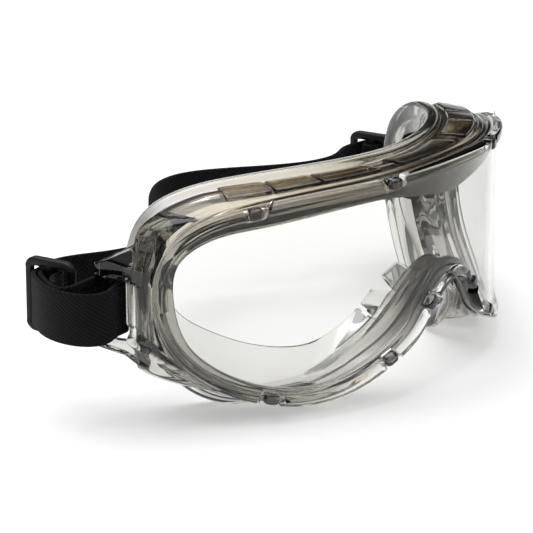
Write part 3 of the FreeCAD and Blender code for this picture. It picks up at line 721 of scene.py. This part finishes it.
# --- plates with openings: lugs and buckles -------------------------------------------------------
def plate(name, outer, inner, keep, material, colours=None):
    """A solid between two grids of points, without the cells that keep leaves out."""
    rows, columns = outer.shape[:2]
    vertices = np.concatenate([outer.reshape(-1, 3), inner.reshape(-1, 3)])
    shift = rows * columns
    faces = []

    def kept(row, place):
        return 0 <= row < rows - 1 and 0 <= place < columns - 1 and keep[row, place]

    for row in range(rows - 1):
        for place in range(columns - 1):
            if not keep[row, place]:
                continue
            a = row * columns + place
            b, c, d = a + 1, a + columns + 1, a + columns
            faces.append((a, b, c, d))
            faces.append((d + shift, c + shift, b + shift, a + shift))
            for start, end, next_row, next_place in (
                    (a, b, row - 1, place), (b, c, row, place + 1),
                    (c, d, row + 1, place), (d, a, row, place - 1)):
                if not kept(next_row, next_place):
                    faces.append((start, end, end + shift, start + shift))
    used = sorted({corner for face in faces for corner in face})
    number = {old: new for new, old in enumerate(used)}
    faces = [tuple(number[corner] for corner in face) for face in faces]
    piece = make_mesh(name, vertices[used], faces, material)
    if colours is not None:
        add_vertex_colours(piece, np.concatenate([colours.reshape(-1, 3)] * 2)[used])
    return piece


def split(stops, counts):
    """Values through all stops, with a number of even steps between neighbours."""
    parts = [np.linspace(start, end, count, endpoint=False)
             for start, end, count in zip(stops[:-1], stops[1:], counts)]
    return np.concatenate([*parts, [stops[-1]]])


def sunk(along, height, span, band, depth, soft=0.5, slope=0.0):
    """The depth of a sunk panel, with steep borders, at points given by two coordinates."""
    leaning = height - slope * (along - span[0])
    inside = ramp(along, span[0], span[0] + soft) * (1 - ramp(along, span[1] - soft, span[1]))
    inside *= ramp(leaning, band[0], band[0] + soft) * (1 - ramp(leaning, band[1] - soft, band[1]))
    return depth * inside


SLOT_FRONT, SLOT_REAR = 53.8, 59.8      # measured back from the foremost point of the lens
SLOT_LOW, SLOT_TOP = 24.7, 42.3
LUG_BEND, LUG_END = 47.6, 63.0
LUG_TOP = ([0, LUG_BEND, 52.0, LUG_END], [58.4, 54.4, 52.3, 46.2])      # (behind, height)
LUG_LOW = ([0, LUG_BEND, 54.0, LUG_END], [6.4, 16.4, 20.6, 22.4])
LUG_OUTSIDE = ([LUG_BEND, 50.0, LUG_END], [84.6, 86.4, 88.8])           # (behind, out)
LUG_INSIDE = ([LUG_BEND, 50.0, SLOT_FRONT, LUG_END], [82.4, 82.6, 83.2, 84.8])
LUG_RIDGE = ([44.0, 58.0], [44.2, 47.4])
DEEPEST_PANEL = 2.6
LUG_TINT = (0.72, 0.72, 0.69)
LUG_BROWN = (0.36, 0.345, 0.31)
# painted shade, laid into the lug's sunk panels, along their edges and along the top of the slot
LUG_PAINTED_SHADE = (0.07, 0.07, 0.075)


def lug_relief(along, heights, ridge):
    """How far the lug's panels lie below its outer face, in one column of points."""
    above_low = heights - heights[0]
    relief = 0.55 * np.clip(heights - ridge, 0, 9) * ramp(along, 43.0, 47.0)
    relief += sunk(along, heights, (38.0, 45.8), (43.4, 52.4), 2.0, slope=0.35)
    relief += sunk(along, heights, (48.6, 52.8), (25.4, 41.6), 2.0, soft=0.8)
    relief += sunk(along, heights, (37.5, 45.6), (22.0, 40.6), 1.3, soft=1.2)
    relief += sunk(along, above_low, (37.0, 56.0), (5.2, 9.5), 1.5, soft=0.8)
    relief += sunk(along, above_low, (37.0, 60.0), (1.0, 4.4), 0.7, soft=0.6)
    return np.minimum(relief, DEEPEST_PANEL)


def lug_colour_and_shade(along, heights, ridge):
    """The lug's colours in one column of points: a brown top, and painted shade in the panels and
    over the slot.
    """
    above_low = heights - heights[0]
    base_colour = np.tile(LUG_TINT, (len(heights), 1))
    # the darkest colour here is painted shade in the sunk panels, along their edges and along the
    # top of the slot
    for amount, colour in (
            (ramp(heights, ridge, ridge + 0.6) * ramp(along, 42.0, 44.0), LUG_BROWN),
            (sunk(along, heights, (46.4, 64.0), (41.0, ridge), 1.0), LUG_PAINTED_SHADE),
            (sunk(along, heights, (38.0, 45.8), (43.4, 52.4), 1.0, slope=0.35), LUG_PAINTED_SHADE),
            (sunk(along, heights, (49.4, 51.4), (25.8, 41.0), 1.0), LUG_PAINTED_SHADE),
            (sunk(along, heights, (44.6, 45.8), (20.0, 41.6), 1.0, soft=0.4), LUG_PAINTED_SHADE),
            (sunk(along, heights, (36.6, 41.0), (20.0, 44.0), 0.75, soft=1.4), LUG_BROWN),
            (sunk(along, above_low, (35.8, 52.0), (5.4, 9.8), 1.0), LUG_PAINTED_SHADE)):
        amount = np.broadcast_to(amount, heights.shape)[:, None]
        base_colour = base_colour * (1 - amount) + np.array(colour) * amount
    return base_colour


def lug_edge(at, heights):
    """The distance of each point in a column from the nearest edge of the lug or its slot."""
    margin = 1.2
    edge = np.minimum(heights - heights[0], heights[-1] - heights)
    if at > SLOT_FRONT - margin:
        middle = (heights > SLOT_LOW - margin) & (heights < SLOT_TOP + margin)
        gap = np.minimum(np.abs(heights - SLOT_LOW), np.abs(heights - SLOT_TOP))
        across = max(SLOT_FRONT - at, at - SLOT_REAR, 0.0)
        gap = np.where((heights > SLOT_LOW) & (heights < SLOT_TOP), across, np.hypot(gap, across))
        edge = np.where(middle, np.minimum(edge, gap), edge)
    return np.minimum(edge, LUG_END - at)


def make_lug(side, sign):
    """A strap lug: ribbed wall, slot and bar, grown out of the side of the frame."""
    low_count, mid_count, top_count = 16, 26, 16
    behind = split([0.0, 1.0], [34])                # share of the way from the wall to the bend
    rear = split([LUG_BEND, 50.0, SLOT_FRONT, SLOT_REAR, LUG_END], [6, 9, 8, 6])[1:]
    count = len(behind) + len(rear)
    slot_start = len(behind) + 6 + 9 - 1
    slot_end = slot_start + 8
    side_run = slice(int(QUARTER * 0.52), int(QUARTER * 1.62))
    wall_front, wall_rear = wall_rail(92.9, 0.15)[side_run], wall_rail(84.6, -0.3)[side_run]
    bend = np.array([84.6, LENS_FRONT + LUG_BEND])
    root = np.array([82.4, LENS_FRONT + 52.6])
    hollow_way = np.array([-0.75, 0.65])

    def on_wall(line, heights):
        order = np.argsort(line[:, 2])
        return np.stack([np.interp(heights, line[order, 2], line[order, axis])
                         for axis in (0, 1)], 1)

    spread = np.concatenate([behind * LUG_BEND, rear])
    top_stops, low_stops = np.interp(spread, *LUG_TOP), np.interp(spread, *LUG_LOW)
    outer = np.zeros((low_count + mid_count + top_count + 1, count, 3))
    inner = np.zeros_like(outer)
    colours = np.zeros_like(outer)
    for place in range(count):
        heights = split([low_stops[place], SLOT_LOW, SLOT_TOP, top_stops[place]],
                        [low_count, mid_count, top_count])
        if place < len(behind):
            share = behind[place]
            near, far = on_wall(wall_front, heights), on_wall(wall_rear, heights)
            hollow = 1.6 * math.sin(math.pi * share)
            spots = near + (bend - near) * share + hollow_way * hollow
            backs = far + (root - far) * share
            at = LUG_BEND + (share - 1) * 12.0
        else:
            at = rear[place - len(behind)]
            back_at = max(at, 52.6 + (at - LUG_BEND) * 0.05)
            spots = np.tile([np.interp(at, *LUG_OUTSIDE), LENS_FRONT + at], (len(heights), 1))
            backs = np.tile([np.interp(at, *LUG_INSIDE), LENS_FRONT + back_at], (len(heights), 1))
        along = np.full(len(heights), at)
        ridge = np.interp(at, *LUG_RIDGE)
        round_off = 0.7 * (1 - np.sqrt(np.clip(lug_edge(at, heights) / 0.8, 0, 1)))
        relief = lug_relief(along, heights, ridge) + round_off
        colours[:, place] = lug_colour_and_shade(along, heights, ridge)
        outer[:, place] = np.column_stack([spots[:, 0] - relief, spots[:, 1], heights])
        inner[:, place] = np.column_stack([backs[:, 0] + round_off * 0.8, backs[:, 1], heights])
    for grid in (outer, inner):
        grid[:, :, 0] *= sign
    keep = np.ones((outer.shape[0] - 1, count - 1), bool)
    keep[low_count:low_count + mid_count, slot_start:slot_end] = False
    piece = plate(side + "_lug_moulding", outer, inner, keep, SMOKE, colours)
    return place_piece(piece, "goggles", "frame_smoke", side + "_lug")


def make_buckle(side, sign):
    """A slide buckle with rounded corners, two slots and a bar between them."""
    low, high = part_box(side + "_buckle")
    depth, height = (high.y - low.y) / MM, (high.z - low.z) / MM
    middle = np.array([(low.x + high.x) / 2, (low.y + high.y) / 2, (low.z + high.z) / 2]) / MM
    rail_width, bar, front_slot, rear_slot, opening = 2.3, 2.6, 4.7, 5.0, 16.6
    front = -depth / 2
    stops = np.cumsum([front, rail_width, front_slot, bar, rear_slot, rail_width])
    lengths = split(stops, [8, 9, 8, 9, 8])
    frame_height = (height - opening) / 2
    heights = split(np.cumsum([-height / 2, frame_height, opening, frame_height]), [8, 22, 8])
    corner = 3.4
    along, up = np.meshgrid(lengths, heights)
    keep = np.ones((len(heights) - 1, len(lengths) - 1), bool)
    keep[8:30, 8:17] = False
    keep[8:30, 25:34] = False
    beyond_y = np.abs(along) - (depth / 2 - corner)
    beyond_z = np.abs(up) - (height / 2 - corner)
    in_corner = (beyond_y > 0) & (beyond_z > 0)
    shrink = np.where(in_corner, np.maximum(beyond_y, beyond_z)
                      / np.maximum(np.hypot(beyond_y, beyond_z), 1e-9), 1.0)
    new_y = np.where(in_corner, np.sign(along) * (depth / 2 - corner + beyond_y * shrink), along)
    new_z = np.where(in_corner, np.sign(up) * (height / 2 - corner + beyond_z * shrink), up)
    edge = np.minimum(depth / 2 - np.abs(along), height / 2 - np.abs(up))
    for start, end in ((stops[1], stops[2]), (stops[3], stops[4])):
        gap_y = np.maximum(np.maximum(start - along, along - end), 0)
        gap_z = np.maximum(np.abs(up) - opening / 2, 0)
        edge = np.minimum(edge, np.hypot(gap_y, gap_z))
    half = (high.x - low.x) / MM / 2
    thick = half - 0.55 * (1 - np.sqrt(np.clip(edge / 0.6, 0, 1)))
    thick = thick - 0.25 * ramp(np.abs(along), 0, 3) * (np.abs(up) < opening / 2)
    outer = np.stack([middle[0] + sign * thick, middle[1] + new_y, middle[2] + new_z], 2)
    inner = np.stack([middle[0] - sign * thick, middle[1] + new_y, middle[2] + new_z], 2)
    piece = plate(side + "_slide_buckle", outer, inner, keep, BLACK_PLASTIC)
    return place_piece(piece, side + "_buckle", "buckle_black", side + "_buckle")


for side, sign in (("left", -1), ("right", 1)):
    make_lug(side, sign)
    make_buckle(side, sign)


# --- webbing --------------------------------------------------------------------------------------
# Routes along the middle of the webbing: (out from the middle, behind the front of the lens).
LOOP_ROUTE = [
    (95.0, 71.4), (93.2, 73.7), (90.8, 75.6), (88.2, 76.3), (85.6, 76.5),
    (84.1, 77.6), (83.8, 79.0), (84.1, 80.6), (85.6, 81.8), (87.8, 81.7),
    (90.2, 80.0), (92.8, 76.9), (95.8, 73.0), (97.6, 69.6), (97.6, 67.0),
    (95.4, 65.9), (91.0, 65.8), (86.0, 65.8), (82.4, 65.4),
    (80.6, 63.4), (80.2, 61.0), (80.7, 58.4), (82.4, 56.6),
    (85.0, 56.3), (88.2, 56.1), (91.6, 55.2),
    (95.2, 54.8), (98.4, 56.4), (100.3, 60.0), (100.6, 64.4), (99.6, 69.2),
    (97.3, 74.0), (94.2, 78.2), (91.2, 81.6), (88.8, 83.3), (86.6, 83.7),
]
BAND_ROUTE = [
    (-86.6, 83.7), (-83.6, 84.4), (-78.0, 85.2), (-72.0, 83.6), (-65.0, 79.4), (-57.0, 75.4),
    (-48.0, 74.8), (-39.0, 78.6), (-27.0, 87.0), (-13.0, 97.6), (0.0, 106.0), (11.0, 110.0),
    (21.0, 109.4), (30.0, 104.4), (40.0, 95.6), (50.0, 87.4), (60.0, 82.6), (69.0, 82.2),
    (77.5, 84.6), (83.6, 84.4), (86.6, 83.7),
]


def make_webbing(name, route, sign, node):
    """Webbing on edge along a route seen from above, with rounded selvedges."""
    curve = spline([(sign * out, LENS_FRONT + behind) for out, behind in route], False)
    last, steps_per_point = len(route) - 1, 12
    steps = evenly(curve, 0, last, steps_per_point * last)
    spots = curve(np.concatenate([steps, [last - 1e-6]]))
    tangent = np.gradient(spots, axis=0)
    tangent /= np.linalg.norm(tangent, axis=1)[:, None]
    side = np.stack([-tangent[:, 1], tangent[:, 0]], 1)
    run = run_along(spots)
    half, thick = STRAP_WIDTH / 2, STRAP_THICKNESS / 2
    selvedge, shoulder, shoulder_share = 0.5, 0.15, 0.75
    section = []
    for face in (1, -1):
        for height in np.linspace(-half + selvedge, half - selvedge, 13):
            section.append((face * thick, face * height))
        section.append((face * thick * shoulder_share, face * (half - shoulder)))
        section.append((0.0, face * half))
        section.append((-face * thick * shoulder_share, face * (half - shoulder)))
    vertices = []
    for spot, out in zip(spots, side):
        for off, height in section:
            vertices.append((spot[0] + out[0] * off, spot[1] + out[1] * off, MID_Z + height))
    size = len(section)
    faces = grid_faces(len(spots), size, False, True)
    faces.append(tuple(range(size)))
    faces.append(tuple(range(len(vertices) - 1, len(vertices) - 1 - size, -1)))
    piece = make_mesh(name, np.array(vertices), faces, WEBBING)
    layout = piece.data.uv_layers.new(name="UVMap")
    for loop in piece.data.loops:
        row, place = divmod(loop.vertex_index, size)
        layout.data[loop.index].uv = (run[row], section[place][1])
    return place_piece(piece, "strap", "webbing_black", node)


make_webbing("left_loop_webbing", LOOP_ROUTE, -1, "left_strap_loop")
make_webbing("right_loop_webbing", LOOP_ROUTE, 1, "right_strap_loop")
make_webbing("back_webbing", BAND_ROUTE, 1, "back_band")


def make_stitches(side, sign):
    """Rows of short stitches through the sewn tail of a loop."""
    pitch, reach, half_stitch, thread = 0.9, 4.9, 0.52, 0.22
    proud, dip = 0.08, 0.12
    ends = [np.array([sign * out, LENS_FRONT + behind, MID_Z]) for out, behind in LOOP_ROUTE[:2]]
    along = (ends[1] - ends[0]) / np.linalg.norm(ends[1] - ends[0])
    away = np.array([-along[1], along[0], 0.0]) * sign
    parts = []
    for row in range(1, 4):
        foot = ends[0] + along * pitch * row + away * (STRAP_THICKNESS / 2 + proud)
        for place in np.linspace(-reach, reach, 8):
            rings = []
            for share, size in ((-1, 0.35), (-0.8, 0.8), (0, 1.0), (0.8, 0.8), (1, 0.35)):
                centre = foot + np.array([0, 0, place + share * half_stitch])
                centre = centre - away * dip * abs(share)
                for turn in np.linspace(0, 2 * math.pi, 8, endpoint=False):
                    rings.append(centre + (away * math.cos(turn) + along * math.sin(turn))
                                 * thread * size)
            faces = grid_faces(5, 8, False, True)
            faces += [tuple(range(8)), tuple(range(39, 31, -1))]
            parts.append((np.array(rings), faces))
    piece = make_mesh(side + "_thread", *join(parts), THREAD)
    return place_piece(piece, "strap", "thread_black", side + "_stitching")


make_stitches("left", -1)
make_stitches("right", 1)


# --- floor and light ------------------------------------------------------------------------------
def make_floor():
    """The pale studio floor, which glows a little so that shadows stay soft."""
    mesh = bpy.data.meshes.new("floor")
    reach = 6.0
    corners = [(-reach, -reach, 0), (reach, -reach, 0), (reach, reach, 0), (-reach, reach, 0)]
    mesh.from_pydata(corners, [], [(0, 1, 2, 3)])
    floor = bpy.data.objects.new("floor", mesh)
    bpy.context.scene.collection.objects.link(floor)
    material, _, shader = new_material("floor_white")
    shader.inputs["Base Color"].default_value = (0.72, 0.72, 0.72, 1)
    shader.inputs["Roughness"].default_value = 0.9
    shader.inputs["Emission Color"].default_value = (1.0, 1.0, 1.0, 1)
    shader.inputs["Emission Strength"].default_value = 0.36
    mesh.materials.append(material)


def add_area_light(name, place, aim, width, depth, power):
    """A rectangular soft light that faces a point."""
    data = bpy.data.lights.new(name, "AREA")
    data.shape = "RECTANGLE"
    data.size = width
    data.size_y = depth
    data.energy = power
    light = bpy.data.objects.new(name, data)
    bpy.context.scene.collection.objects.link(light)
    light.location = place
    light.rotation_euler = (Vector(aim) - Vector(place)).to_track_quat("-Z", "Y").to_euler()


def make_world():
    """A studio seen all round: a bright ceiling and a bright horizon with a dark band between."""
    world = bpy.data.worlds.new("studio")
    world.use_nodes = True
    tree = world.node_tree
    coords = tree.nodes.new("ShaderNodeTexCoord")
    axes = tree.nodes.new("ShaderNodeSeparateXYZ")
    tree.links.new(coords.outputs["Generated"], axes.inputs["Vector"])
    band = tree.nodes.new("ShaderNodeValToRGB")
    # (sine of the height above the horizon, brightness)
    stops = [(0.0, 0.9), (0.07, 0.9), (0.12, 0.05), (0.44, 0.05), (0.56, 0.9), (1.0, 1.1)]
    ramp_stops = band.color_ramp.elements
    for stop, (position, level) in ((ramp_stops[0], stops[0]), (ramp_stops[1], stops[-1])):
        stop.position = position
        stop.color = (level, level, level, 1)
    for position, level in stops[1:-1]:
        ramp_stops.new(position).color = (level, level, level, 1)
    tree.links.new(axes.outputs["Z"], band.inputs["Fac"])
    tree.links.new(band.outputs["Color"], tree.nodes["Background"].inputs["Color"])
    tree.nodes["Background"].inputs["Strength"].default_value = 0.68
    bpy.context.scene.world = world


make_floor()
make_world()
add_area_light("top_softbox", (0.0, 0.3, 1.3), (0, 0, 0), 1.6, 1.2, 16.5)
bpy.context.scene.view_settings.view_transform = "Standard"
